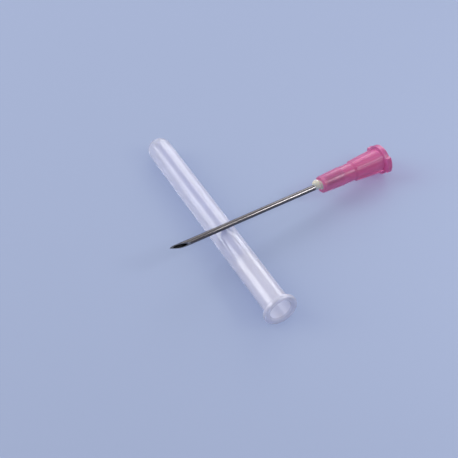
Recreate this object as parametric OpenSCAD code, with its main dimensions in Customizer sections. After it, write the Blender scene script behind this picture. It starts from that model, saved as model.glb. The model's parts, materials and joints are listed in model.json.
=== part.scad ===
// Hypodermic needle of the 1.2 mm size, lying across its own open sheath.
// Hub, steel tube and adhesive share one frame: it starts at the middle of
// the hub's open face and runs along +Z to the tip. The sheath's frame starts
// at its closed end and runs along +Z to the mouth. Both are then laid on the
// plane z = 0 as they come to rest, the tube propped up by the sheath.

/* [Steel tube] */
// Outside diameter of the tube
tube_od = 1.27; // [1.1:0.01:1.5]
// Bore of the tube
tube_id = 0.84; // [0.6:0.01:0.95]
// Length of tube outside the hub, tip included
reach = 39; // [28:1:50]
// Length of tube held inside the hub
tube_hold = 6; // [4:0.5:7]
// Angle between the main bevel and the tube
bevel_angle = 15; // [12:0.5:17]
// Angle between each side facet of the tip and the tube
facet_angle = 20; // [18:0.5:24]
// Turn of each side facet away from the main bevel
facet_turn = 30; // [20:1:40]
// Direction of the tip about the tube, from straight up towards +Y
tip_roll = 101; // [0:1:180]

/* [Hub flange] */
// Diameter of the round flange
flange_d = 6.6; // [6.3:0.1:7.2]
// Thickness of the flange
flange_t = 1.25; // [0.8:0.05:1.6]
// Rounding of the flange's edges
flange_edge = 0.2; // [0.1:0.05:0.35]
// Distance across the two lugs
lug_span = 7.8; // [7.4:0.1:8.4]
// Width of each lug
lug_w = 3.5; // [2:0.1:4.5]
// Direction of the first lug about the hub, from straight up towards +Y
lug_roll = 105; // [60:1:120]

/* [Hub body] */
// Number of fins
fin_count = 4; // [3:1:6]
// Direction of the first fin about the hub, from straight up towards +Y
fin_roll = 60; // [0:1:120]
// Length of the finned section
fin_len = 7.5; // [5:0.1:10]
// Thickness of each fin
fin_t = 0.8; // [0.5:0.05:1.2]
// Diameter over the fins at their start
fin_start_d = 4.75; // [4.6:0.01:5.1]
// Diameter over the fins at the flange
fin_end_d = 5.7; // [5.4:0.01:6.1]
// Length of the slope at the start of each fin
fin_ramp = 0.55; // [0.2:0.05:1.2]
// Diameter of the core between the fins at their start
core_start_d = 4.4; // [4.2:0.05:4.6]
// Diameter of the core between the fins at the flange
core_end_d = 5.1; // [4.9:0.05:5.3]
// Diameter of the waist
waist_d = 4.1; // [3.8:0.05:4.2]
// Length of the waist
waist_len = 2.85; // [1.5:0.05:4]
// Diameter of the nose at the waist
nose_root_d = 4.26; // [4.1:0.02:4.6]
// Diameter of the nose at its face
nose_tip_d = 3.76; // [3.5:0.02:4.1]
// Length of the nose
nose_len = 5.5; // [4.5:0.1:7]
// Rounding of the nose's edges
nose_edge = 0.3; // [0.1:0.05:0.5]

/* [Hub inside] */
// Diameter of the conical socket at the hub's open face
luer_d = 4.3; // [4.1:0.01:4.4]
// Taper of the socket, as diameter lost for each unit of depth
luer_taper = 0.06; // [0.05:0.005:0.07]
// Depth of the socket
luer_depth = 7.5; // [6:0.1:8]
// Chamfer at the socket's mouth
luer_chamfer = 0.2; // [0.05:0.05:0.35]
// Diameter of the adhesive well in the nose face
well_d = 2.2; // [1.9:0.05:2.5]
// Depth of the adhesive well
well_depth = 1.3; // [0.6:0.1:2.5]
// Space round the tube at the bottom of the well
well_gap = 0.1; // [0.05:0.01:0.25]

/* [Adhesive bead] */
// Diameter of the drop on the nose face
drop_d = 1.9; // [1.7:0.05:2.1]
// Height of the drop's middle above the nose face
drop_rise = 0.8; // [0.6:0.05:0.9]
// How far the drop sits off the tube's axis
drop_shift = 0.58; // [0.4:0.02:0.62]
// Direction of that shift, from straight up towards +Y
drop_roll = 50; // [0:1:180]
// Length of the film that runs out along the tube
film_len = 1.4; // [1.1:0.1:2.4]
// Thickness of the film where it leaves the drop
film_t = 0.24; // [0.15:0.01:0.4]

/* [Sheath] */
// Length of the fins that go into the mouth when the sheath is on
grip_len = 2; // [0.6:0.1:3]
// Free length of socket past the nose when the sheath is on
nose_room = 4.6; // [2:0.1:8]
// Free length of chamber past the tip when the sheath is on
tip_room = 6.5; // [3:0.1:12]
// Thickness of the wall round the socket
socket_wall = 0.38; // [0.25:0.01:0.8]
// Length of the cone between socket and chamber
shoulder_len = 1.2; // [0.4:0.1:2.5]
// Space round the tube at the chamber's closed end
chamber_gap = 0.42; // [0.2:0.01:0.8]
// Extra radius of the chamber at the shoulder, which lets its core draw out
chamber_draft = 0.15; // [0.05:0.01:0.4]
// Thickness of the closed end
end_wall = 1.4; // [0.8:0.1:3]
// Outside diameter at the closed end
closed_d = 5.35; // [5:0.01:5.7]
// How far the rim stands out round the mouth
rim_w = 1; // [0.7:0.05:1.6]
// Thickness of the rim
rim_t = 1.2; // [1.15:0.05:1.8]
// Rounding of the rim's edges
rim_edge = 0.5; // [0.2:0.05:0.55]
// Radius of the fillet behind the rim
rim_fillet = 1.1; // [0.4:0.05:2]
// Rounding of the mouth's inner lip
lip_edge = 0.6; // [0.2:0.05:0.8]

/* [Rest] */
// Angle seen from above between the needle and the sheath
cross_angle = 84.5; // [70:0.1:110]
// Length of needle past the sheath's axis, tip included
overhang = 13.9; // [8:0.1:20]
// Distance from the sheath's closed end to the crossing
cross_from_end = 33.3; // [20:0.1:38]
// Space left between tube and sheath where they touch
rest_gap = 0.02; // [0.01:0.01:0.1]

/* [Hidden] */

// Facets of every round face
round_fn = 96;
// Overlap that keeps cuts from ending on a face
cut = 0.1;

// Places along the needle, from the hub's open face
fins_z = flange_t;
waist_z = fins_z + fin_len;
nose_z = waist_z + waist_len;
face_z = nose_z + nose_len;
tube_z = face_z - tube_hold;
tip_z = face_z + reach;

// Radii along the needle
tube_r = tube_od / 2;
flange_r = flange_d / 2;
lug_r = lug_span / 2;
luer_r = luer_d / 2;
luer_end_r = luer_r - luer_taper * luer_depth / 2;
well_r = well_d / 2;
well_end_r = tube_r + well_gap;

// Places along the sheath, from its closed end
hub_inside = grip_len + waist_len + nose_len;
sheath_len = hub_inside + reach + tip_room + end_wall;
socket_z = sheath_len - hub_inside - nose_room;
rim_z = sheath_len - rim_t;

// Radii along the sheath. The fins jam in the socket after grip_len.
socket_r = (fin_start_d + (fin_end_d - fin_start_d) * grip_len / fin_len) / 2;
mouth_r = socket_r + socket_wall;
rim_r = mouth_r + rim_w;
fillet_r = min(rim_fillet, rim_w);
closed_r = closed_d / 2;
chamber_end_r = tube_r + chamber_gap;
chamber_r = chamber_end_r + chamber_draft;

// The sheath rests on its round end and on the back edge of its rim
rim_ring_r = rim_r - rim_edge;
rim_from_dome = rim_z + rim_edge - closed_r;
sheath_tilt = atan2(rim_ring_r, rim_from_dome)
            - asin((closed_r - rim_edge) / norm([rim_from_dome, rim_ring_r]));
sheath_turn = -180 + cross_angle;
cross_from_dome = cross_from_end - closed_r;
sheath_axis_z = closed_r + cross_from_dome * sin(sheath_tilt);
sheath_cross_r = closed_r + (mouth_r - closed_r) * cross_from_dome / (rim_z - closed_r);

// The hub rests on its flange: on the round edge, or on a lug where one
// reaches lower
lug_half = asin(lug_w / lug_span);
lug_off_down = min(lug_roll, 180 - lug_roll) - lug_half;
low_r = max(flange_r, lug_r * cos(max(0, lug_off_down)));

// The tube rests on the sheath, so its tilt is found by stepping closer to
// the angle at which the two touch
needle_cross = tip_z - overhang;
stack = tube_r + sheath_cross_r + rest_gap;
sheath_dir = [cos(sheath_tilt) * cos(sheath_turn),
              cos(sheath_tilt) * sin(sheath_turn),
              sin(sheath_tilt)];
function needle_dir(tilt) = [-cos(tilt), 0, sin(tilt)];
function rise(tilt) =
    stack * norm(cross(sheath_dir, needle_dir(tilt))) / abs(cross(sheath_dir, needle_dir(tilt))[2]);
function face_height(tilt) = (low_r - flange_edge) * cos(tilt) + flange_edge * (1 - sin(tilt));
function next_tilt(tilt) =
    asin((sheath_axis_z + rise(tilt) - face_height(tilt)) / needle_cross);
function settle(tilt, steps) = steps == 0 ? tilt : settle(next_tilt(tilt), steps - 1);
first_tilt = 4;
settle_steps = 12;
needle_tilt = settle(first_tilt, settle_steps);

// Middle of everything seen from above, with the crossing at the origin
hub_x = needle_cross * cos(needle_tilt) + (low_r - flange_edge) * sin(needle_tilt);
tip_x = -overhang * cos(needle_tilt) + tube_r * cos(tip_roll) * sin(needle_tilt);
dome_y = -cross_from_dome * sheath_dir[1] + closed_r;
mouth_y = (sheath_len - rim_edge - cross_from_end) * sheath_dir[1]
        - rim_ring_r * sqrt(1 - pow(sheath_dir[1], 2)) - rim_edge;
middle = [(hub_x + tip_x) / 2, (dome_y + mouth_y) / 2, 0];

// Puts the needle's pieces where they rest
module laid_needle() {
    translate([needle_cross * cos(needle_tilt), 0, face_height(needle_tilt)] - middle)
        rotate([0, needle_tilt - 90, 0])
            children();
}

// Puts the sheath where it rests
module laid_sheath() {
    translate([0, 0, sheath_axis_z] - middle - cross_from_end * sheath_dir)
        rotate([0, 90 - sheath_tilt, sheath_turn])
            children();
}

// Half outline of a disc with both edges rounded
module disc_outline(radius, thick, edge) {
    square([radius - edge, thick]);
    translate([0, edge])
        square([radius, thick - 2 * edge]);
    for (z = [edge, thick - edge])
        translate([radius - edge, z])
            circle(r = edge, $fn = round_fn);
}

// Flange with its two lugs, both with the same rounded edges
module flange() {
    rotate_extrude($fn = round_fn)
        disc_outline(flange_r, flange_t, flange_edge);
    intersection() {
        rotate_extrude($fn = round_fn)
            disc_outline(lug_r, flange_t, flange_edge);
        rotate([0, 0, lug_roll])
            translate([-lug_r - cut, -lug_w / 2, 0])
                cube([2 * (lug_r + cut), lug_w, flange_t]);
    }
}

// One fin: a slice of a cone that swells towards the flange
module fin() {
    intersection() {
        rotate_extrude($fn = round_fn)
            polygon([[0, fins_z - flange_edge],
                     [fin_end_d / 2, fins_z - flange_edge],
                     [fin_end_d / 2, fins_z],
                     [fin_start_d / 2, waist_z - fin_ramp],
                     [waist_d / 2, waist_z],
                     [0, waist_z]]);
        translate([0, -fin_t / 2, 0])
            cube([fin_end_d, fin_t, waist_z + cut]);
    }
}

// Core, waist and nose, with the nose's edges rounded
module hub_core() {
    cylinder(h = waist_z - fin_ramp, d1 = core_end_d, d2 = core_start_d, $fn = round_fn);
    translate([0, 0, waist_z - fin_ramp])
        cylinder(h = fin_ramp, d1 = core_start_d, d2 = waist_d, $fn = round_fn);
    translate([0, 0, waist_z - cut])
        cylinder(h = waist_len + 2 * cut, d = waist_d, $fn = round_fn);
    rotate_extrude($fn = round_fn)
        nose_outline();
}

// Half outline of the nose, a tapered plug with round edges
module nose_outline() {
    root_r = nose_root_d / 2;
    tip_r = nose_tip_d / 2;
    polygon([[0, nose_z],
             [root_r - nose_edge / 2, nose_z],
             [root_r, nose_z + nose_edge / 2],
             [tip_r, face_z - nose_edge],
             [0, face_z - nose_edge]]);
    translate([0, face_z - nose_edge - cut])
        square([tip_r - nose_edge, nose_edge + cut]);
    translate([tip_r - nose_edge, face_z - nose_edge])
        circle(r = nose_edge, $fn = round_fn);
}

// Everything that is hollow in the hub, as one half outline: the conical
// socket, the funnel down to the tube, the tube's seat and the adhesive well
module hub_hollow() {
    rotate_extrude($fn = round_fn)
        polygon([[0, -cut],
                 [luer_r + luer_chamfer + cut, -cut],
                 [luer_r, luer_chamfer],
                 [luer_end_r, luer_depth],
                 [tube_r, tube_z],
                 [tube_r, face_z - well_depth],
                 [well_end_r, face_z - well_depth],
                 [well_r, face_z],
                 [well_r, face_z + cut],
                 [0, face_z + cut]]);
}

module hub() {
    color([0.85, 0.32, 0.52])
        laid_needle()
            difference() {
                union() {
                    flange();
                    hub_core();
                    for (i = [0 : fin_count - 1])
                        rotate([0, 0, fin_roll + i * 360 / fin_count])
                            fin();
                }
                hub_hollow();
            }
}

// Space beyond a flat ground face that leans by lean from the tube's axis
// and passes through the tip point at the middle of the frame
module ground_away(lean) {
    long = 2 * tube_od / sin(bevel_angle);
    rotate([90 - lean, 0, 0])
        translate([-tube_od, -long, 0])
            cube([2 * tube_od, 2 * long, tube_od / sin(bevel_angle)]);
}

module cannula() {
    color([0.62, 0.62, 0.62])
        laid_needle()
            rotate([0, 0, tip_roll - 90])
                difference() {
                    translate([0, 0, tube_z])
                        cylinder(h = tip_z - tube_z, r = tube_r, $fn = round_fn);
                    translate([0, 0, tube_z - cut])
                        cylinder(h = tip_z - tube_z + 2 * cut, d = tube_id, $fn = round_fn);
                    translate([0, tube_r, tip_z]) {
                        ground_away(bevel_angle);
                        for (turn = [-facet_turn, facet_turn])
                            rotate([0, 0, turn])
                                ground_away(facet_angle);
                    }
                }
}

// Drop that stands on the nose face, a little to one side
module drop() {
    intersection() {
        translate([drop_shift * cos(drop_roll), drop_shift * sin(drop_roll), face_z + drop_rise])
            sphere(d = drop_d, $fn = round_fn);
        translate([0, 0, face_z])
            cylinder(h = 2 * drop_d, r = drop_d, $fn = round_fn);
    }
}

// Adhesive in the well, and the film that thins out along the tube
module well_fill() {
    rotate_extrude($fn = round_fn)
        polygon([[0, face_z - well_depth],
                 [well_end_r, face_z - well_depth],
                 [well_r, face_z],
                 [tube_r + film_t, face_z + film_t],
                 [tube_r, face_z + film_len],
                 [0, face_z + film_len]]);
}

module adhesive_bead() {
    color([0.95, 0.93, 0.85])
        laid_needle()
            difference() {
                union() {
                    well_fill();
                    drop();
                }
                translate([0, 0, tube_z])
                    cylinder(h = tip_z - tube_z, r = tube_r, $fn = round_fn);
            }
}

// Outside of the sheath: round end, slim taper, fillet and round rim
module sheath_outside() {
    translate([0, 0, closed_r])
        sphere(r = closed_r, $fn = round_fn);
    translate([0, 0, closed_r])
        cylinder(h = rim_z + cut - closed_r, r1 = closed_r, r2 = mouth_r, $fn = round_fn);
    translate([0, 0, rim_z])
        rotate_extrude($fn = round_fn)
            disc_outline(rim_r, rim_t, rim_edge);
    translate([0, 0, rim_z - fillet_r])
        rotate_extrude($fn = round_fn)
            difference() {
                square([mouth_r + fillet_r, fillet_r + rim_edge]);
                translate([mouth_r + fillet_r, 0])
                    circle(r = fillet_r, $fn = round_fn);
            }
}

// Inside of the sheath: chamber with a round end, shoulder and socket
module sheath_inside() {
    translate([0, 0, end_wall + chamber_end_r])
        sphere(r = chamber_end_r, $fn = round_fn);
    rotate_extrude($fn = round_fn)
        polygon([[0, end_wall + chamber_end_r],
                 [chamber_end_r, end_wall + chamber_end_r],
                 [chamber_r, socket_z - shoulder_len],
                 [socket_r, socket_z],
                 [socket_r, sheath_len + cut],
                 [0, sheath_len + cut]]);
}

// What the round inner lip of the mouth takes away
module mouth_lip() {
    translate([0, 0, sheath_len - lip_edge])
        rotate_extrude($fn = round_fn)
            difference() {
                square([socket_r + lip_edge, lip_edge + cut]);
                translate([socket_r + lip_edge, 0])
                    circle(r = lip_edge, $fn = round_fn);
            }
}

module sheath() {
    color([0.84, 0.84, 0.92, 0.6])
        laid_sheath()
            difference() {
                sheath_outside();
                sheath_inside();
                mouth_lip();
            }
}

hub();
cannula();
adhesive_bead();
sheath();
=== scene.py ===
# %% [markdown]
# A hypodermic needle of the 1.2 mm size, lying across its own open sheath.
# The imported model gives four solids: a pink moulded hub, a steel tube, a bead
# of adhesive and a milky sheath. This script makes them look like the real
# thing: it turns finer meshes on the same sizes, and gives each one a finish.

# %% Load the frame
import json
import math

import bmesh
import bpy
from mathutils import Matrix, Vector


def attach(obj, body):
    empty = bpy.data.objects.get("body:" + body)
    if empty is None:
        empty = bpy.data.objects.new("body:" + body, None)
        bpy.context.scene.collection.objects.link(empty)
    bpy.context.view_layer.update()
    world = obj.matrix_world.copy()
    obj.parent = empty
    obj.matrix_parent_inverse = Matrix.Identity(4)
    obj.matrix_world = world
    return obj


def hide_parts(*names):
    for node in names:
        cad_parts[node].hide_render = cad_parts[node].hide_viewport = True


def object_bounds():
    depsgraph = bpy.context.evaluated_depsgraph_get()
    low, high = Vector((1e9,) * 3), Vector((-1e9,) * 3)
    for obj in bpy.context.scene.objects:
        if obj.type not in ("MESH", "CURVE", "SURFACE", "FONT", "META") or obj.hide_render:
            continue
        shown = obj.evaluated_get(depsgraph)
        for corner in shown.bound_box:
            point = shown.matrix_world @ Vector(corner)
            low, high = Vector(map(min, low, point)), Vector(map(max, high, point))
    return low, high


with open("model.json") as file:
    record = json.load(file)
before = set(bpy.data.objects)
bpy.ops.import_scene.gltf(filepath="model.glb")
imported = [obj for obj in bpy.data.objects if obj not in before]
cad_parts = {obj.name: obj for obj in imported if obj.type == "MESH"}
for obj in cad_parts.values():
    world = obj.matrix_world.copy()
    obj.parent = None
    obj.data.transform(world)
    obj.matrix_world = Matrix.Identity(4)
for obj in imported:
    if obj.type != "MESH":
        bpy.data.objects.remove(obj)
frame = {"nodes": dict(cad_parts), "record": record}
cad_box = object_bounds()
MM = 0.001
mounts = {m["name"]: m for m in frame["record"]["mounts"]}
print("nodes:", ", ".join(sorted(frame["nodes"])))

# %% [markdown]
# The needle and its sheath each have an axis of their own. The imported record
# states both: the hub's conical socket points out of the open end, and the
# sheath's socket points out of its mouth. Every piece is drawn upright first,
# on the plain Z axis in millimetres, and then moved to its place, because
# sizes read most easily that way. The move goes into the mesh, and the
# object itself stays at the origin.

# %% Places of the two axes
LIP_EDGE = 0.6
SHEATH_LEN = 57.25
LEAST_ACROSS = 0.3


def axis_frame(start, direction):
    """A matrix from upright millimetres to metres, with the Z axis laid along a direction."""
    along = Vector(direction).normalized()
    across = Vector((0, 1, 0)) - along * along.y
    lies_along_y = across.length < LEAST_ACROSS
    if lies_along_y:
        across = Vector((1, 0, 0)) - along * along.x
    across.normalize()
    third = across.cross(along)
    turned = Matrix((third, across, along)).transposed().to_4x4()
    return Matrix.Translation(start) @ turned @ Matrix.Scale(MM, 4)


hub_mouth = Vector(mounts["luer_socket"]["pos_m"])
needle_axis = -Vector(mounts["luer_socket"]["axis"])
needle_place = axis_frame(hub_mouth, needle_axis)
sheath_axis = Vector(mounts["sheath_socket"]["axis"]).normalized()
lip_start = Vector(mounts["sheath_socket"]["pos_m"])
sheath_place = axis_frame(lip_start - sheath_axis * (SHEATH_LEN - LIP_EDGE) * MM, sheath_axis)
print("needle tilt in degrees:", round(math.degrees(math.asin(needle_axis.z)), 2))

# %% [markdown]
# The sizes are those of the solids. Lengths run from the hub's open face for
# the needle, and from the closed end for the sheath. Names that end in _R are
# radii, and names that end in _Z are heights on the upright piece.

# %% Sizes of the needle in millimetres
TUBE_R, TUBE_BORE_R, TUBE_HOLD, REACH = 0.635, 0.42, 6.0, 39.0
FLANGE_R, FLANGE_T, FLANGE_EDGE = 3.3, 1.25, 0.2
LUG_COUNT, LUG_R, LUG_HALF_W, LUG_ROLL = 2, 3.9, 1.75, 105
FIN_COUNT, FIN_HALF_W, FIN_ROLL = 4, 0.4, 60
FIN_START_R, FIN_END_R, FIN_LEN, FIN_RAMP = 2.375, 2.85, 7.5, 0.55
CORE_START_R, CORE_END_R = 2.2, 2.55
WAIST_R, WAIST_LEN = 2.05, 2.85
NOSE_ROOT_R, NOSE_TIP_R, NOSE_LEN, NOSE_EDGE, NOSE_STEP = 2.13, 1.88, 5.5, 0.3, 0.08
LUER_R, LUER_TAPER, LUER_CHAMFER, LUER_DEPTH = 2.15, 0.06, 0.2, 7.5
WELL_R, WELL_END_R, WELL_DEPTH, WELL_STEP = 1.1, TUBE_R + 0.1, 1.3, 0.05

LUER_END_R = LUER_R - LUER_TAPER / 2 * LUER_DEPTH
WAIST_Z = FLANGE_T + FIN_LEN
NOSE_Z = WAIST_Z + WAIST_LEN
FACE_Z = NOSE_Z + NOSE_LEN
TUBE_Z = FACE_Z - TUBE_HOLD
TIP_Z = FACE_Z + REACH
print("needle length in mm:", TIP_Z)

# %% [markdown]
# An injection mould leaves no sharp edge: every corner of a moulding has a
# small round. So each outline here is a list of corners, each with the
# radius of its round, and one helper swaps every corner for a short arc.
# The alternative, a Bevel modifier on a finished mesh, gives less control
# where three edges meet. A second helper adds points on long straight parts.

# %% Corners to round outlines
MOST_OF_A_SIDE = 0.49


def rounded(corners, steps=5, closed=True):
    """Points of an outline whose corners (r, z, radius) are swapped for arcs of so many steps."""
    points = []
    count = len(corners)
    for i, (r, z, radius) in enumerate(corners):
        here = Vector((r, z))
        if not closed and i in (0, count - 1):
            points.append(here)
            continue
        back = Vector(corners[i - 1][:2]) - here
        ahead = Vector(corners[(i + 1) % count][:2]) - here
        room = MOST_OF_A_SIDE * min(back.length, ahead.length)
        reach = min(radius / math.tan(back.angle(ahead) / 2), room)
        start = here + back.normalized() * reach
        end = here + ahead.normalized() * reach
        for k in range(steps + 1):
            t = k / steps
            points.append(start * (1 - t) ** 2 + here * 2 * t * (1 - t) + end * t ** 2)
    return points


def with_steps(points, longest):
    """Adds points on long straight parts, since long thin faces shade badly where light grazes them."""
    stepped = []
    for start, end in zip(points, points[1:]):
        parts = max(1, math.ceil((end - start).length / longest))
        stepped += [start.lerp(end, k / parts) for k in range(parts)]
    return stepped + [points[-1]]


square = rounded([(1, 0, 0.2), (2, 0, 0.2), (2, 1, 0.2), (1, 1, 0.2)])
print("the four corners of a square become", len(square), "points")

# %% [markdown]
# Hub, tube and sheath are all turned forms, so one Geometry Nodes tree makes
# all three. It wraps a grid round the Z axis: each row of the grid is one
# point of the outline, each column one angle. A tree is built node by node,
# and these helpers keep every step of it to one line.

# %% Node helpers
def link_in(tree, node, name_or_index, value):
    """Sets an input of a node, from a socket or from a plain value."""
    socket = node.inputs[name_or_index]
    if hasattr(value, "is_output"):
        tree.links.new(value, socket)
    else:
        socket.default_value = value


def maths(tree, operation, *values):
    """One Math node, and its output."""
    node = tree.nodes.new("ShaderNodeMath")
    node.operation = operation
    for i, value in enumerate(values):
        link_in(tree, node, i, value)
    return node.outputs[0]


def vector_maths(tree, operation, first, second=None, scale=None):
    """One Vector Math node, and its output."""
    node = tree.nodes.new("ShaderNodeVectorMath")
    node.operation = operation
    link_in(tree, node, 0, first)
    if second is not None:
        link_in(tree, node, 1, second)
    if scale is not None:
        link_in(tree, node, "Scale", scale)
    return node.outputs["Value" if operation == "DOT_PRODUCT" else "Vector"]


def split_xyz(tree, value):
    """The three numbers of a vector, by name."""
    node = tree.nodes.new("ShaderNodeSeparateXYZ")
    tree.links.new(value, node.inputs[0])
    return node.outputs


# %% [markdown]
# The hub also has fins and lugs. For these the outline carries a second and a
# third place for every point, "on_fin" and "on_lug", and a flat-sided rib
# decides by angle how far a point moves out to them. A rib's side is flat
# because half its width, divided by the sine of the angle, is the radius at
# which that side lies.

# %% Share of a flat-sided rib at each angle
LEAST = 0.001


def rib_share(tree, angle, count, roll, half_width, plain_r, rib_r, soft):
    """How far a point moves from the plain outline to the rib, from 0 to 1."""
    step = maths(tree, "DIVIDE", 2 * math.pi, count)
    off = maths(tree, "SUBTRACT", angle, roll)
    off = maths(tree, "WRAP", off, maths(tree, "MULTIPLY", step, 0.5), maths(tree, "MULTIPLY", step, -0.5))
    sine = maths(tree, "ABSOLUTE", maths(tree, "SINE", off))
    side_r = maths(tree, "DIVIDE", half_width, maths(tree, "MAXIMUM", sine, LEAST))
    gain = maths(tree, "MAXIMUM", maths(tree, "SUBTRACT", rib_r, plain_r), LEAST)
    share = maths(tree, "DIVIDE", maths(tree, "SUBTRACT", side_r, plain_r), gain)
    share = maths(tree, "SMOOTH_MAX", share, 0.0, soft)
    return maths(tree, "SMOOTH_MIN", share, 1.0, soft)


# %% Radius and height of each point, with fins and lugs
def outline_reader(tree, outline, row):
    """A helper that reads a value of the outline at each grid point's row."""
    def read(value):
        sample = tree.nodes.new("GeometryNodeSampleIndex")
        sample.data_type = "FLOAT_VECTOR"
        tree.links.new(outline, sample.inputs["Geometry"])
        tree.links.new(value, sample.inputs["Value"])
        link_in(tree, sample, "Index", row)
        return sample.outputs[0]
    return read


def ribbed_place(tree, sizes, angle, read):
    """Each point's place on the plain outline, moved out where a fin or a lug is."""
    plain = read(tree.nodes.new("GeometryNodeInputPosition").outputs[0])
    place = plain
    for key, count, width, roll in (("on_fin", "Fins", "Fin Half Width", "Fin Roll"),
                                    ("on_lug", "Lugs", "Lug Half Width", "Lug Roll")):
        named = tree.nodes.new("GeometryNodeInputNamedAttribute")
        named.data_type = "FLOAT_VECTOR"
        named.inputs["Name"].default_value = key
        target = read(named.outputs[0])
        share = rib_share(tree, angle, sizes[count], sizes[roll], sizes[width],
                          split_xyz(tree, plain)["X"], split_xyz(tree, target)["X"], sizes["Softness"])
        move = vector_maths(tree, "SUBTRACT", target, plain)
        place = vector_maths(tree, "ADD", place, vector_maths(tree, "SCALE", move, scale=share))
    return split_xyz(tree, place)


# %% [markdown]
# The tree starts with its named inputs. Then comes a flat grid, and from each
# grid point's number its column, which is an angle, and its row, which is a
# point of the outline. The grid has one row and one column more than needed.
# They lie on the first ones, and merging closes the seam.

# %% Inputs and grid of the turning tree
def tree_with_inputs():
    """An empty tree with a named input for each size."""
    tree = bpy.data.node_groups.new("turned_moulding", "GeometryNodeTree")
    face = tree.interface
    face.new_socket("Outline", in_out="INPUT", socket_type="NodeSocketGeometry")
    for name, kind, value in (
            ("Columns", "NodeSocketInt", 192), ("Rows", "NodeSocketInt", 10),
            ("Fins", "NodeSocketInt", 4), ("Fin Half Width", "NodeSocketFloat", 0.4),
            ("Fin Roll", "NodeSocketFloat", 0.0), ("Lugs", "NodeSocketInt", 2),
            ("Lug Half Width", "NodeSocketFloat", 1.75), ("Lug Roll", "NodeSocketFloat", 0.0),
            ("Softness", "NodeSocketFloat", 0.2)):
        face.new_socket(name, in_out="INPUT", socket_type=kind).default_value = value
    face.new_socket("Finish", in_out="INPUT", socket_type="NodeSocketMaterial")
    face.new_socket("Piece", in_out="OUTPUT", socket_type="NodeSocketGeometry")
    return tree


def flat_grid(tree, columns, rows):
    """A grid of columns and rows, and each grid point's row and angle."""
    grid = tree.nodes.new("GeometryNodeMeshGrid")
    rows_and_one = maths(tree, "ADD", rows, 1)
    link_in(tree, grid, "Vertices X", maths(tree, "ADD", columns, 1))
    link_in(tree, grid, "Vertices Y", rows_and_one)
    index = tree.nodes.new("GeometryNodeInputIndex").outputs[0]
    # The 0.5 and the 0.1 keep a whole number from falling just short of itself.
    column = maths(tree, "FLOOR", maths(tree, "DIVIDE", maths(tree, "ADD", index, 0.5), rows_and_one))
    row = maths(tree, "SUBTRACT", index, maths(tree, "MULTIPLY", column, rows_and_one))
    row = maths(tree, "FLOOR", maths(tree, "FLOORED_MODULO", maths(tree, "ADD", row, 0.1), rows))
    angle = maths(tree, "MULTIPLY", maths(tree, "DIVIDE", column, columns), 2 * math.pi)
    return grid.outputs["Mesh"], row, angle


# %% The turning tree
SEAM_GAP = 0.0004


def turning_tree():
    """Builds the tree that wraps an outline round the Z axis."""
    tree = tree_with_inputs()
    sizes = tree.nodes.new("NodeGroupInput").outputs
    out = tree.nodes.new("NodeGroupOutput")
    grid, row, angle = flat_grid(tree, sizes["Columns"], sizes["Rows"])
    place = ribbed_place(tree, sizes, angle, outline_reader(tree, sizes["Outline"], row))
    joined = tree.nodes.new("ShaderNodeCombineXYZ")
    link_in(tree, joined, "X", maths(tree, "MULTIPLY", place["X"], maths(tree, "COSINE", angle)))
    link_in(tree, joined, "Y", maths(tree, "MULTIPLY", place["X"], maths(tree, "SINE", angle)))
    link_in(tree, joined, "Z", place["Z"])
    wrapped = tree.nodes.new("GeometryNodeSetPosition")
    tree.links.new(grid, wrapped.inputs["Geometry"])
    tree.links.new(joined.outputs[0], wrapped.inputs["Position"])
    merged = tree.nodes.new("GeometryNodeMergeByDistance")
    merged.inputs["Distance"].default_value = SEAM_GAP
    tree.links.new(wrapped.outputs[0], merged.inputs["Geometry"])
    real = tree.nodes.new("GeometryNodeRealizeInstances")
    tree.links.new(merged.outputs[0], real.inputs[0])
    finish = tree.nodes.new("GeometryNodeSetMaterial")
    tree.links.new(real.outputs[0], finish.inputs["Geometry"])
    tree.links.new(sizes["Finish"], finish.inputs["Material"])
    tree.links.new(finish.outputs[0], out.inputs[0])
    return tree


TURNING = turning_tree()
print("turning tree has", len(TURNING.nodes), "nodes")

# %% [markdown]
# The tree runs as a modifier on a small mesh that holds only the outline.
# The result is copied out as a plain mesh, and then checked: no open edges,
# and faces that point outwards.

# %% Close a mesh and face it out
SAME_POINT = 0.0003


def close_and_face_out(mesh):
    """Merges doubles, points the faces outwards and gives the count of open edges."""
    work = bmesh.new()
    work.from_mesh(mesh)
    bmesh.ops.remove_doubles(work, verts=work.verts, dist=SAME_POINT)
    bmesh.ops.dissolve_degenerate(work, edges=work.edges, dist=SAME_POINT)
    bmesh.ops.recalc_face_normals(work, faces=work.faces)
    if work.calc_volume(signed=True) < 0:
        bmesh.ops.reverse_faces(work, faces=work.faces)
    bmesh.ops.delete(work, geom=[e for e in work.edges if not e.link_faces], context="EDGES")
    open_edges = sum(1 for e in work.edges if len(e.link_faces) != 2)
    work.to_mesh(mesh)
    work.free()
    return open_edges


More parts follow.
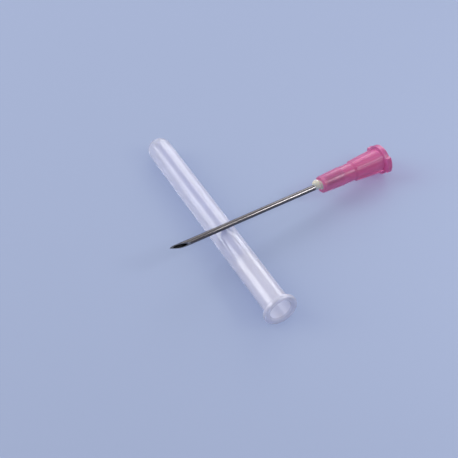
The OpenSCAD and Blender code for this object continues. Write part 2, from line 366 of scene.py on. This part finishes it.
# %% Turn an outline into a finished mesh
def turn(name, outline, finish, columns, on_fin=None, on_lug=None, **inputs):
    """Wraps an outline round the Z axis with the turning tree, and gives the upright mesh object."""
    mesh = bpy.data.meshes.new(name)
    places = [Vector((p.x, 0, p.y)) for p in outline]
    mesh.from_pydata(places, [(i, i + 1) for i in range(len(places) - 1)], [])
    for key, moved in (("on_fin", on_fin), ("on_lug", on_lug)):
        attribute = mesh.attributes.new(key, "FLOAT_VECTOR", "POINT")
        for i, p in enumerate(moved or outline):
            attribute.data[i].vector = (p.x, 0, p.y)
    piece = bpy.data.objects.new(name, mesh)
    bpy.context.scene.collection.objects.link(piece)
    modifier = piece.modifiers.new("turning", "NODES")
    modifier.node_group = TURNING
    values = {"Columns": columns, "Rows": len(outline), "Finish": finish, **inputs}
    for socket in TURNING.interface.items_tree:
        if socket.in_out == "INPUT" and socket.name in values:
            modifier[socket.identifier] = values[socket.name]
    bpy.context.view_layer.update()
    graph = bpy.context.evaluated_depsgraph_get()
    result = bpy.data.meshes.new_from_object(piece.evaluated_get(graph))
    piece.modifiers.clear()
    piece.data = result
    result.name = name
    # Set Material leaves an empty first slot, so the finish gets the only one.
    result.materials.clear()
    result.materials.append(finish)
    result.polygons.foreach_set("material_index", [0] * len(result.polygons))
    open_edges = close_and_face_out(result)
    print(f"{name}: {len(result.polygons)} faces, {open_edges} open edges")
    return piece


def settle(piece, place, sharp_angle=None):
    """Moves a mesh to its place, shades it smooth, and keeps edges past an angle sharp."""
    piece.data.transform(place)
    piece.data.shade_smooth()
    if sharp_angle is not None:
        piece.data.set_sharp_from_angle(angle=math.radians(sharp_angle))
    piece.data.update()


def faces_by_finish(mesh):
    """How many faces each finish has."""
    return {finish.name: sum(face.material_index == i for face in mesh.polygons)
            for i, finish in enumerate(mesh.materials)}


# %% [markdown]
# Finishes. Every one is built from the same few steps: a noise on Object
# coordinates, a range to map it onto, two colours to mix by it, and a fine
# bump. An image texture would need unwrapped meshes and could slide at the
# seams. Noise fills the space that the piece stands in, so it has no seam.

# %% Material helpers
COLOUR_A, COLOUR_B, COLOUR_RESULT = 6, 7, 2


def new_finish(name):
    """A material, its tree and its Principled shader."""
    material = bpy.data.materials.new(name)
    material.use_nodes = True
    tree = material.node_tree
    return material, tree, tree.nodes["Principled BSDF"]


def noise(tree, scale, detail=2.0, drawn_out=None, turned=(0, 0, 0)):
    """Noise with so many waves for each metre, drawn out along an axis if asked."""
    where = tree.nodes.new("ShaderNodeTexCoord").outputs["Object"]
    if drawn_out is not None:
        mapping = tree.nodes.new("ShaderNodeMapping")
        mapping.vector_type = "TEXTURE"
        tree.links.new(where, mapping.inputs["Vector"])
        mapping.inputs["Rotation"].default_value = turned
        mapping.inputs["Scale"].default_value = drawn_out
        where = mapping.outputs[0]
    node = tree.nodes.new("ShaderNodeTexNoise")
    tree.links.new(where, node.inputs["Vector"])
    node.inputs["Scale"].default_value = scale
    node.inputs["Detail"].default_value = detail
    return node.outputs["Fac"]


def spread(tree, value, low, high, start=0.3, end=0.7):
    """Maps the part of a pattern from start to end onto a range, and clamps the rest."""
    node = tree.nodes.new("ShaderNodeMapRange")
    tree.links.new(value, node.inputs["Value"])
    for key, number in (("From Min", start), ("From Max", end), ("To Min", low), ("To Max", high)):
        node.inputs[key].default_value = number
    return node.outputs["Result"]


def mix_colours(tree, share, first, second):
    """Mixes two colours by a share."""
    node = tree.nodes.new("ShaderNodeMix")
    node.data_type = "RGBA"
    link_in(tree, node, "Factor", share)
    node.inputs[COLOUR_A].default_value = (*first, 1)
    node.inputs[COLOUR_B].default_value = (*second, 1)
    return node.outputs[COLOUR_RESULT]


def bump(tree, shader, height, distance, strength):
    """Feeds a height pattern to the shader's normal."""
    node = tree.nodes.new("ShaderNodeBump")
    node.inputs["Strength"].default_value = strength
    node.inputs["Distance"].default_value = distance
    tree.links.new(height, node.inputs["Height"])
    tree.links.new(node.outputs[0], shader.inputs["Normal"])


# %% [markdown]
# Both mouldings are polypropylene, a plastic that is milky by itself: light
# goes in, scatters a little and comes out. A clear glass would look wrong,
# and so would paint. So one part of the light is let through a slightly
# rough surface, and half of the rest scatters below it.
#
# A lamp's light can't reach the inside of refracting plastic directly, since
# the surface bends its shadow rays away. The render would be dark and full of
# noise. So shadow rays, and the rays that leave a matt surface, meet a tinted
# clear surface instead. Both have to, or the light would be counted twice. It
# also gives the pale, tinted shadows that such plastic really throws.

# %% Light inside the plastic
PLASTIC_IOR = 1.49
SCATTERED = 0.5


def let_light_scatter(shader, see_through, radius, scale_mm):
    """Sets how much light passes, and how far each colour scatters below the surface."""
    shader.inputs["IOR"].default_value = PLASTIC_IOR
    shader.inputs["Transmission Weight"].default_value = see_through
    shader.inputs["Subsurface Weight"].default_value = SCATTERED
    shader.inputs["Subsurface Radius"].default_value = radius
    shader.inputs["Subsurface Scale"].default_value = scale_mm * MM


def let_lamps_in(tree, shader, tint):
    """Shadow and diffuse rays pass the surface with a tint. Every other ray sees the shader."""
    path = tree.nodes.new("ShaderNodeLightPath")
    clear = tree.nodes.new("ShaderNodeBsdfTransparent")
    clear.inputs["Color"].default_value = (*tint, 1)
    pick = tree.nodes.new("ShaderNodeMixShader")
    passing = maths(tree, "MAXIMUM", path.outputs["Is Shadow Ray"], path.outputs["Is Diffuse Ray"])
    tree.links.new(passing, pick.inputs[0])
    tree.links.new(shader.outputs[0], pick.inputs[1])
    tree.links.new(clear.outputs[0], pick.inputs[2])
    tree.links.new(pick.outputs[0], tree.nodes["Material Output"].inputs["Surface"])


# %% [markdown]
# The hub is coloured all through, in the pink that marks a 1.2 mm tube. The
# mould leaves a satin skin. Its roughness follows the whole range of a noise:
# a smoother skin, with its noise clamped at both ends, would show dark specks.
# Red scatters farthest, which keeps the thin edges warm.

# %% Pink polypropylene of the hub
def pink_plastic():
    material, tree, shader = new_finish("hub_plastic_pink")
    tone = spread(tree, noise(tree, 260, 1), 0, 1, 0.1, 0.9)
    colour = mix_colours(tree, tone, (0.67, 0.16, 0.38), (0.72, 0.185, 0.41))
    tree.links.new(colour, shader.inputs["Base Color"])
    tree.links.new(spread(tree, noise(tree, 900), 0.29, 0.36, 0.1, 0.9), shader.inputs["Roughness"])
    let_light_scatter(shader, see_through=0.40, radius=(1.0, 0.3, 0.6), scale_mm=1.0)
    let_lamps_in(tree, shader, (0.88, 0.68, 0.79))
    bump(tree, shader, noise(tree, 1400), 0.004 * MM, 0.5)
    return material


PINK = pink_plastic()
print("finish:", PINK.name)

# %% [markdown]
# The sheath is one plastic with one colour, yet its chamber reads as a darker,
# bluish band between two pale walls, and its socket as a whiter stretch. That
# comes from walls of different thickness, and from what shows through them.
# The chamber's band is also painted: its inner wall is darker and bluer, a
# painted shade.
# One finish on every wall would look flat, so the outer wall, the socket's
# wall and the chamber's wall each have a share of light that passes, and a tone.

# %% Milky polypropylene of the sheath
def milky_plastic(name, see_through, rough, low, high):
    """Milky plastic. Its tone and the share that is seen through depend on the wall."""
    material, tree, shader = new_finish(name)
    tone = spread(tree, noise(tree, 160), 0, 1, 0.1, 0.9)
    tree.links.new(mix_colours(tree, tone, low, high), shader.inputs["Base Color"])
    tree.links.new(spread(tree, noise(tree, 600), rough, rough + 0.06), shader.inputs["Roughness"])
    let_light_scatter(shader, see_through, radius=(0.9, 0.95, 1.0), scale_mm=1.5)
    let_lamps_in(tree, shader, (0.86, 0.87, 0.92))
    bump(tree, shader, noise(tree, 900), 0.004 * MM, 0.5)
    return material


MILKY = milky_plastic("sheath_plastic_milky", 0.60, 0.08, (0.80, 0.79, 0.90), (0.86, 0.85, 0.94))
MILKY_SOCKET = milky_plastic("sheath_plastic_socket", 0.40, 0.12, (0.74, 0.73, 0.83), (0.80, 0.79, 0.88))
# The chamber's wall is painted darker and bluer than the others: a painted shade for the band seen through it.
MILKY_BORE_PAINTED_SHADE = milky_plastic("sheath_plastic_bore_painted_shade", 0.85, 0.06, (0.50, 0.55, 0.75), (0.58, 0.63, 0.81))
print("finishes:", MILKY.name, MILKY_SOCKET.name, MILKY_BORE_PAINTED_SHADE.name)

# %% [markdown]
# The tube is drawn through a die, which leaves fine lines along it. A noise
# that is drawn out along the tube makes them, in colour, roughness and bump.
# The ground tip is a little lighter and less glossy, with scratches from the
# wheel. The bore's steel is painted near black, as painted shade, because
# hardly any light comes out of it.

# %% Steel of the tube
def steel(name, grain, colours, roughness, grain_mm, strength, edge_tint=(1, 1, 1)):
    """Metal whose colour, roughness and bump all follow one grain. The edge tint dims grazing light."""
    material, tree, shader = new_finish(name)
    pattern = noise(tree, **grain)
    colour = mix_colours(tree, spread(tree, pattern, 0, 1), *colours)
    tree.links.new(colour, shader.inputs["Base Color"])
    shader.inputs["Metallic"].default_value = 1.0
    shader.inputs["Specular Tint"].default_value = (*edge_tint, 1)
    tree.links.new(spread(tree, pattern, *roughness), shader.inputs["Roughness"])
    bump(tree, shader, pattern, grain_mm * MM, strength)
    return material


# The bore's steel is painted near black: painted shade for the inside of the tube.
def painted_shade_bore():
    material, tree, shader = new_finish("needle_steel_bore_painted_shade")
    colour = mix_colours(tree, noise(tree, 900), (0.012, 0.012, 0.013), (0.035, 0.034, 0.036))
    tree.links.new(colour, shader.inputs["Base Color"])
    shader.inputs["Metallic"].default_value = 1.0
    shader.inputs["Roughness"].default_value = 0.5
    return material


DRAWN = steel("needle_steel_drawn", dict(scale=2200, detail=3, drawn_out=(40, 1, 1)),
              colours=((0.135, 0.125, 0.13), (0.21, 0.198, 0.205)), roughness=(0.15, 0.26),
              grain_mm=0.003, strength=0.6, edge_tint=(0.55, 0.53, 0.55))
GROUND = steel("needle_steel_ground", dict(scale=5200, detail=3, drawn_out=(1, 12, 1), turned=(0, 0, 0.5)),
               colours=((0.22, 0.212, 0.21), (0.33, 0.32, 0.315)), roughness=(0.28, 0.42),
               grain_mm=0.004, strength=0.7)
STEEL_BORE_PAINTED_SHADE = painted_shade_bore()
print("finishes:", DRAWN.name, GROUND.name, STEEL_BORE_PAINTED_SHADE.name)

# %% [markdown]
# The adhesive is a cream-coloured epoxy that sets with a smooth skin. A plain
# paint would give it a hard edge between light and shade, so most of its
# light scatters below the surface.

# %% Cream adhesive
def cream_adhesive():
    material, tree, shader = new_finish("adhesive_cream")
    tone = noise(tree, 1100, 3)
    colour = mix_colours(tree, spread(tree, tone, 0, 1), (0.70, 0.67, 0.58), (0.80, 0.78, 0.70))
    tree.links.new(colour, shader.inputs["Base Color"])
    tree.links.new(spread(tree, tone, 0.12, 0.25), shader.inputs["Roughness"])
    shader.inputs["IOR"].default_value = 1.55
    shader.inputs["Subsurface Weight"].default_value = 0.8
    shader.inputs["Subsurface Radius"].default_value = (0.7, 0.6, 0.4)
    shader.inputs["Subsurface Scale"].default_value = 0.6 * MM
    bump(tree, shader, noise(tree, 1800), 0.01 * MM, 0.5)
    return material


CREAM = cream_adhesive()
print("finish:", CREAM.name)

# %% [markdown]
# The hub. Its outline runs from the open face over the flange, down the
# body to the nose, and back inside through the well, the tube's seat, the
# funnel and the conical socket. The seat is a hair smaller than the tube, so
# that the plastic meets the steel with no film of air between them.

# %% Hub
SEAT_BITE = 0.02
SEAT_R = TUBE_R - SEAT_BITE
HUB_COLUMNS = 720


def hub_corners(flange_r, body_end_r, body_start_r):
    """Corners (radius, height, round) of the hub's outline, for a given reach of flange and body."""
    return [
        (LUER_R + LUER_CHAMFER, 0, 0.04), (flange_r, 0, FLANGE_EDGE),
        (flange_r, FLANGE_T, FLANGE_EDGE), (body_end_r, FLANGE_T, 0.18),
        (body_start_r, WAIST_Z - FIN_RAMP, 0.12), (WAIST_R, WAIST_Z, 0.3),
        (WAIST_R, NOSE_Z, 0.06), (NOSE_ROOT_R, NOSE_Z + NOSE_STEP, 0.06),
        (NOSE_TIP_R, FACE_Z, NOSE_EDGE), (WELL_R, FACE_Z, 0.06),
        (WELL_END_R, FACE_Z - WELL_DEPTH, 0.05), (SEAT_R, FACE_Z - WELL_DEPTH - WELL_STEP, 0.02),
        (SEAT_R, TUBE_Z, 0.1), (LUER_END_R, LUER_DEPTH, 0.3), (LUER_R, LUER_CHAMFER, 0.05)]


hub = turn("hub_moulding", rounded(hub_corners(FLANGE_R, CORE_END_R, CORE_START_R)), PINK, HUB_COLUMNS,
           on_fin=rounded(hub_corners(FLANGE_R, FIN_END_R, FIN_START_R)),
           on_lug=rounded(hub_corners(LUG_R, CORE_END_R, CORE_START_R)),
           **{"Fins": FIN_COUNT, "Fin Half Width": FIN_HALF_W, "Fin Roll": math.radians(FIN_ROLL),
              "Lugs": LUG_COUNT, "Lug Half Width": LUG_HALF_W, "Lug Roll": math.radians(LUG_ROLL)})
settle(hub, needle_place)

# %% [markdown]
# The tube. A drawn tube is a plain ring, turned with the same tree. Its tip
# is ground three times: one long bevel, and two shorter facets turned to
# each side, which leave a sharp point. Three wedges cut it here with exact
# Boolean modifiers, as the three passes over the grinding wheel do.

# %% Tube
TUBE_COLUMNS, TUBE_EDGE = 96, 0.03
tube = turn("steel_tube", rounded([(TUBE_R, TUBE_Z, TUBE_EDGE), (TUBE_R, TIP_Z, 0.0), (TUBE_BORE_R, TIP_Z, 0.0),
                                   (TUBE_BORE_R, TUBE_Z, TUBE_EDGE)], steps=2), DRAWN, TUBE_COLUMNS)

# %% Ground tip
BEVEL_ANGLE, FACET_ANGLE, FACET_TURN, TIP_ROLL = 15, 20, 30, 101
WEDGE_WIDTH, WEDGE_LENGTH, WEDGE_HEIGHT = 4, 24, 6


def grinding_wedge(lean, turned):
    """A block whose lower face is the ground plane through the tip point."""
    work = bmesh.new()
    bmesh.ops.create_cube(work, size=1)
    size = (Matrix.Diagonal((WEDGE_WIDTH, WEDGE_LENGTH, WEDGE_HEIGHT, 1))
            @ Matrix.Translation((0, 0, 0.5)))
    place = (Matrix.Translation((0, TUBE_R, TIP_Z)) @ Matrix.Rotation(math.radians(turned), 4, "Z")
             @ Matrix.Rotation(math.radians(90 - lean), 4, "X") @ size)
    work.transform(place)
    block = bpy.data.meshes.new("wedge")
    work.to_mesh(block)
    work.free()
    wedge = bpy.data.objects.new("wedge", block)
    bpy.context.scene.collection.objects.link(wedge)
    return wedge


wedges = [grinding_wedge(BEVEL_ANGLE, 0), grinding_wedge(FACET_ANGLE, FACET_TURN),
          grinding_wedge(FACET_ANGLE, -FACET_TURN)]
for wedge in wedges:
    cut = tube.modifiers.new("grind", "BOOLEAN")
    cut.operation = "DIFFERENCE"
    cut.solver = "EXACT"
    cut.object = wedge
bpy.context.view_layer.update()
ground_mesh = bpy.data.meshes.new_from_object(tube.evaluated_get(bpy.context.evaluated_depsgraph_get()))
tube.modifiers.clear()
tube.data = ground_mesh
for wedge in wedges:
    bpy.data.objects.remove(wedge)
print("tube after grinding:", len(tube.data.polygons), "faces,", close_and_face_out(tube.data), "open edges")

# %% [markdown]
# The three finishes of the steel go on by shape: a sloped face near the tip
# is ground, a face that looks at the axis lies in the bore, and every other
# one is drawn. The facets keep sharp edges, as a wheel leaves them.

# %% Finishes of the tube's faces
TIP_PART, LEAST_SLOPE, TUBE_SHARP = 8, 0.15, 8
MIDDLE_R = (TUBE_R + TUBE_BORE_R) / 2
for finish in (GROUND, STEEL_BORE_PAINTED_SHADE):
    tube.data.materials.append(finish)
for face in tube.data.polygons:
    middle = face.center
    outward = face.normal.xy.dot(middle.xy.normalized())
    if abs(face.normal.z) > LEAST_SLOPE and middle.z > TIP_Z - TIP_PART:
        face.material_index = 1
    elif outward < 0 and middle.xy.length < MIDDLE_R:
        # Faces in the bore get the steel painted near black, as painted shade.
        face.material_index = 2
    else:
        face.material_index = 0
tube.data.transform(Matrix.Rotation(math.radians(TIP_ROLL - 90), 4, "Z"))
settle(tube, needle_place, sharp_angle=TUBE_SHARP)
print("tube faces:", faces_by_finish(tube.data))

# %% [markdown]
# The adhesive. A drop of epoxy is put on the nose, runs into the well and
# creeps out along the tube. It sets a little to one side, as here. Rings
# stacked along the tube make it: each ring has a radius and a shift off the
# axis, both smooth in height, which gives the round drop and the thin film.

# %% Radius of the adhesive bead
DROP_R, DROP_SHIFT, DROP_ROLL, DROP_RISE, DROP_BLEND, FILM_T = 0.95, 0.58, 50, 0.8, 0.25, 0.24
WELL_OVERLAP, LAST_IN_WELL = 0.02, -0.02
TOP_Z = DROP_RISE + DROP_R


def film_radius(height):
    """Radius of the film round the tube, with a collar that spreads over the nose face."""
    collar = (WELL_R - TUBE_R - FILM_T) * max(0.0, 1 - height / FILM_T) ** 2
    return TUBE_R + FILM_T * max(0.0, 1 - height / TOP_Z) ** 1.5 + collar


def bead_radius(height, angle):
    """Radius of the bead at a height above the nose face, or inside the well below it."""
    if height < 0:
        return WELL_END_R + (WELL_R - WELL_END_R) * (1 + height / WELL_DEPTH) + WELL_OVERLAP
    off = angle - math.radians(DROP_ROLL)
    ball = math.sqrt(max(0.0, DROP_R ** 2 - (height - DROP_RISE) ** 2))
    side = DROP_SHIFT * math.sin(off)
    reach = DROP_SHIFT * math.cos(off) + math.sqrt(ball ** 2 - side ** 2) if ball > abs(side) else 0
    film = film_radius(height)
    share = max(0.0, min(1.0, 0.5 + 0.5 * (reach - film) / DROP_BLEND))
    return film + (reach - film) * share + DROP_BLEND * share * (1 - share)


print("bead radius at half its height:", round(bead_radius(TOP_Z / 2, 0), 3))

# %% Adhesive bead
BEAD_COLUMNS, BEAD_ROWS, BEAD_SHARP = 96, 40, 60


def bead_ring(work, height, radius_at):
    """One ring of points at a height above the nose face."""
    angles = [2 * math.pi * c / BEAD_COLUMNS for c in range(BEAD_COLUMNS)]
    return [work.verts.new((radius_at(height, angle) * math.cos(angle),
                            radius_at(height, angle) * math.sin(angle), FACE_Z + height)) for angle in angles]


def bead_mesh():
    """The bead as stacked rings: up the outside, and back down along the tube."""
    work = bmesh.new()
    heights = [-WELL_DEPTH, -WELL_DEPTH / 2, LAST_IN_WELL]
    heights += [TOP_Z * (k / BEAD_ROWS) for k in range(BEAD_ROWS + 1)]
    rings = [bead_ring(work, height, bead_radius) for height in heights]
    rings += [bead_ring(work, height, lambda h, a: SEAT_R) for height in (heights[-1], heights[0])]
    for low, high in zip(rings, rings[1:] + rings[:1]):
        for c in range(BEAD_COLUMNS):
            d = (c + 1) % BEAD_COLUMNS
            work.faces.new((low[c], low[d], high[d], high[c]))
    mesh = bpy.data.meshes.new("adhesive_drop")
    work.to_mesh(mesh)
    work.free()
    return mesh


bead_data = bead_mesh()
print("bead:", len(bead_data.polygons), "faces,", close_and_face_out(bead_data), "open edges")
bead_data.materials.append(CREAM)
bead = bpy.data.objects.new("adhesive_drop", bead_data)
bpy.context.scene.collection.objects.link(bead)
settle(bead, needle_place, sharp_angle=BEAD_SHARP)

# %% [markdown]
# The sheath is one long moulding: a round closed end, a slim outside taper
# and a rim at the mouth. Inside is a narrow chamber for the tube and, behind
# a cone, the wide socket that grips the hub. The two bores matter for the
# look, since they show through the milky wall. A solid with no bores would
# be cheaper, but would look like a candle.

# %% Outline of the sheath
CLOSED_R, MOUTH_R, FILLET_R = 2.675, 2.8817, 0.9
RIM_W, RIM_T, RIM_EDGE = 1.0, 1.2, 0.5
SOCKET_R, SOCKET_Z, SHOULDER_LEN = 2.5017, SHEATH_LEN - 14.95, 1.2
CHAMBER_END_R, CHAMBER_R, END_WALL = 1.055, 1.205, 1.4
END_STEPS, MOUTH_STEPS, LONGEST_STEP, SHEATH_COLUMNS = 18, 8, 2.0, 360


def round_end(centre_z, radius):
    """Points of a quarter circle from the axis out to the full radius, below its middle."""
    angles = [math.pi / 2 * k / END_STEPS for k in range(END_STEPS + 1)]
    return [Vector((radius * math.sin(angle), centre_z - radius * math.cos(angle))) for angle in angles]


rim_r = MOUTH_R + RIM_W
mouth = rounded([(CLOSED_R, CLOSED_R + 1, 0), (MOUTH_R, SHEATH_LEN - RIM_T, FILLET_R),
                 (rim_r, SHEATH_LEN - RIM_T, RIM_EDGE), (rim_r, SHEATH_LEN, RIM_EDGE),
                 (SOCKET_R, SHEATH_LEN, LIP_EDGE), (SOCKET_R, SOCKET_Z, 0.2),
                 (CHAMBER_R, SOCKET_Z - SHOULDER_LEN, 0.3), (CHAMBER_END_R, END_WALL + CHAMBER_END_R + 1, 0)],
                steps=MOUTH_STEPS, closed=False)
outer_end = round_end(CLOSED_R, CLOSED_R)
inner_end = round_end(END_WALL + CHAMBER_END_R, CHAMBER_END_R)[::-1]
sheath_outline = with_steps(outer_end + mouth + inner_end, LONGEST_STEP)
print("points in the sheath's outline:", len(sheath_outline))

# %% Sheath
sheath = turn("sheath_moulding", sheath_outline, MILKY, SHEATH_COLUMNS)
sheath.data.materials.append(MILKY_SOCKET)
sheath.data.materials.append(MILKY_BORE_PAINTED_SHADE)
FINISH_SPLIT_Z = SOCKET_Z - SHOULDER_LEN / 2
WIDEST_BORE_R, BORE_START_Z = SOCKET_R + 0.05, END_WALL - 0.1
for face in sheath.data.polygons:
    middle = face.center
    looks_in = face.normal.xy.dot(middle.xy) < 0 and middle.z < SHEATH_LEN - LIP_EDGE
    in_a_bore = middle.xy.length < WIDEST_BORE_R and middle.z > BORE_START_Z
    if looks_in and in_a_bore:
        # Finish 2, on the chamber's wall, is painted darker and bluer as painted shade.
        face.material_index = 1 if middle.z > FINISH_SPLIT_Z else 2
settle(sheath, sheath_place)
print("sheath faces:", faces_by_finish(sheath.data))

# %% [markdown]
# Every finer mesh now stands in for its solid and rides on the one body. The
# solids aren't deleted: they stay hidden, for the physics.

# %% Replace the solids
for piece, node, slot in ((hub, "hub", "hub_plastic"), (tube, "cannula", "needle_steel"),
                          (bead, "adhesive_bead", "adhesive"), (sheath, "sheath", "sheath_plastic")):
    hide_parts(node)
    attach(piece, "root")
    print(piece.name, "stands for", node)

# %% [markdown]
# The stage is a plain pale floor, cool in tone so that the milky sheath reads
# against it. It is matt, and much larger than the needle, so that its edge
# stays out of view from the sides as well as from above.

# %% Floor
FLOOR_HALF = 3.0


def floor_finish():
    material, _, shader = new_finish("floor_pale")
    shader.inputs["Base Color"].default_value = (0.42, 0.49, 0.69, 1)
    shader.inputs["Roughness"].default_value = 0.9
    shader.inputs["Specular IOR Level"].default_value = 0.1
    return material


floor_mesh = bpy.data.meshes.new("floor")
floor_z = cad_box[0][2]
floor_corners = [(x * FLOOR_HALF, y * FLOOR_HALF, floor_z) for x, y in ((-1, -1), (1, -1), (1, 1), (-1, 1))]
floor_mesh.from_pydata(floor_corners, [], [(0, 1, 2, 3)])
floor_mesh.materials.append(floor_finish())
floor = bpy.data.objects.new("floor", floor_mesh)
bpy.context.scene.collection.objects.link(floor)
print("floor is", 2 * FLOOR_HALF, "m wide, at height", round(floor_z, 6))

# %% [markdown]
# Three soft lamps light it. The window lamp is large, for the broad sheen on
# the sheath. The right lamp draws the second line on it. The front lamp is
# small and close, so that its stripe on the tube fades towards the tip.

# %% Lamps
def soft_lamp(name, direction, distance, width, height, power, upward=(0, 0, 1)):
    """A soft rectangular lamp that faces the middle of the object. Lengths are in metres."""
    data = bpy.data.lights.new(name, "AREA")
    data.shape = "RECTANGLE"
    data.size, data.size_y = width, height
    data.energy = power
    lamp = bpy.data.objects.new(name, data)
    bpy.context.scene.collection.objects.link(lamp)
    away = Vector(direction).normalized()
    side = Vector(upward).cross(away).normalized()
    lamp.matrix_world = (Matrix.Translation(away * distance)
                         @ Matrix((side, away.cross(side), away)).transposed().to_4x4())


soft_lamp("window_lamp", (-0.673, 0.554, 0.489), distance=0.6, width=0.30, height=0.44, power=1.8,
          upward=(0.588, 0, 0.809))
soft_lamp("right_lamp", (0.68, 0.60, 0.42), distance=0.5, width=0.30, height=0.24, power=0.75)
soft_lamp("front_lamp", (0.532, -0.540, 0.652), distance=0.224, width=0.03, height=0.07, power=0.11,
          upward=(0, 0.77, 0.64))

# %% [markdown]
# Steel shows the room around it. A room of one brightness would make the tube
# a flat grey, so the world is brighter above and behind the needle than in
# front of it.

# %% Light of the room
ROOM_COLOUR = (0.92, 0.94, 1.0, 1)
BRIGHT_SIDE = (0.3, 0.5, 0.81)


def room(tree):
    """Light of the room: brighter above and behind the object, darker in front of it."""
    where = tree.nodes.new("ShaderNodeTexCoord").outputs["Generated"]
    lean = vector_maths(tree, "DOT_PRODUCT", where, BRIGHT_SIDE)
    level = spread(tree, lean, low=0.12, high=0.62, start=-0.4, end=0.9)
    tree.links.new(level, tree.nodes["Background"].inputs["Strength"])
    tree.nodes["Background"].inputs["Color"].default_value = ROOM_COLOUR


world = bpy.data.worlds.new("soft_room")
bpy.context.scene.world = world
world.use_nodes = True
room(world.node_tree)
print("world:", world.name)

# %% [markdown]
# The camera looks down at 48 degrees, over the tip and the sheath's mouth. A
# long lens from far away keeps the perspective mild, so that the near end and
# the far end of the sheath show at nearly one scale.

# %% Camera
CAMERA_TURN, CAMERA_RISE, CAMERA_FAR = -34.22, 47.91, 384.9
CAMERA_LENS, CAMERA_SENSOR, CAMERA_NEAR = 140.44, 36, 0.01
turn_rad, rise_rad = math.radians(CAMERA_TURN), math.radians(CAMERA_RISE)
back = Vector((math.sin(turn_rad) * math.cos(rise_rad), -math.cos(turn_rad) * math.cos(rise_rad),
               math.sin(rise_rad)))
target = Vector((-12.183, -2.717, 3.0)) * MM
camera_data = bpy.data.cameras.new("camera")
camera_data.lens = CAMERA_LENS
camera_data.sensor_width = CAMERA_SENSOR
camera_data.clip_start = CAMERA_NEAR
camera = bpy.data.objects.new("camera", camera_data)
bpy.context.scene.collection.objects.link(camera)
camera.location = target + back * CAMERA_FAR * MM
camera.rotation_euler = back.to_track_quat("Z", "Y").to_euler()
bpy.context.scene.camera = camera
bpy.context.scene.view_settings.view_transform = "Standard"
print("camera at", [round(v, 4) for v in camera.location])
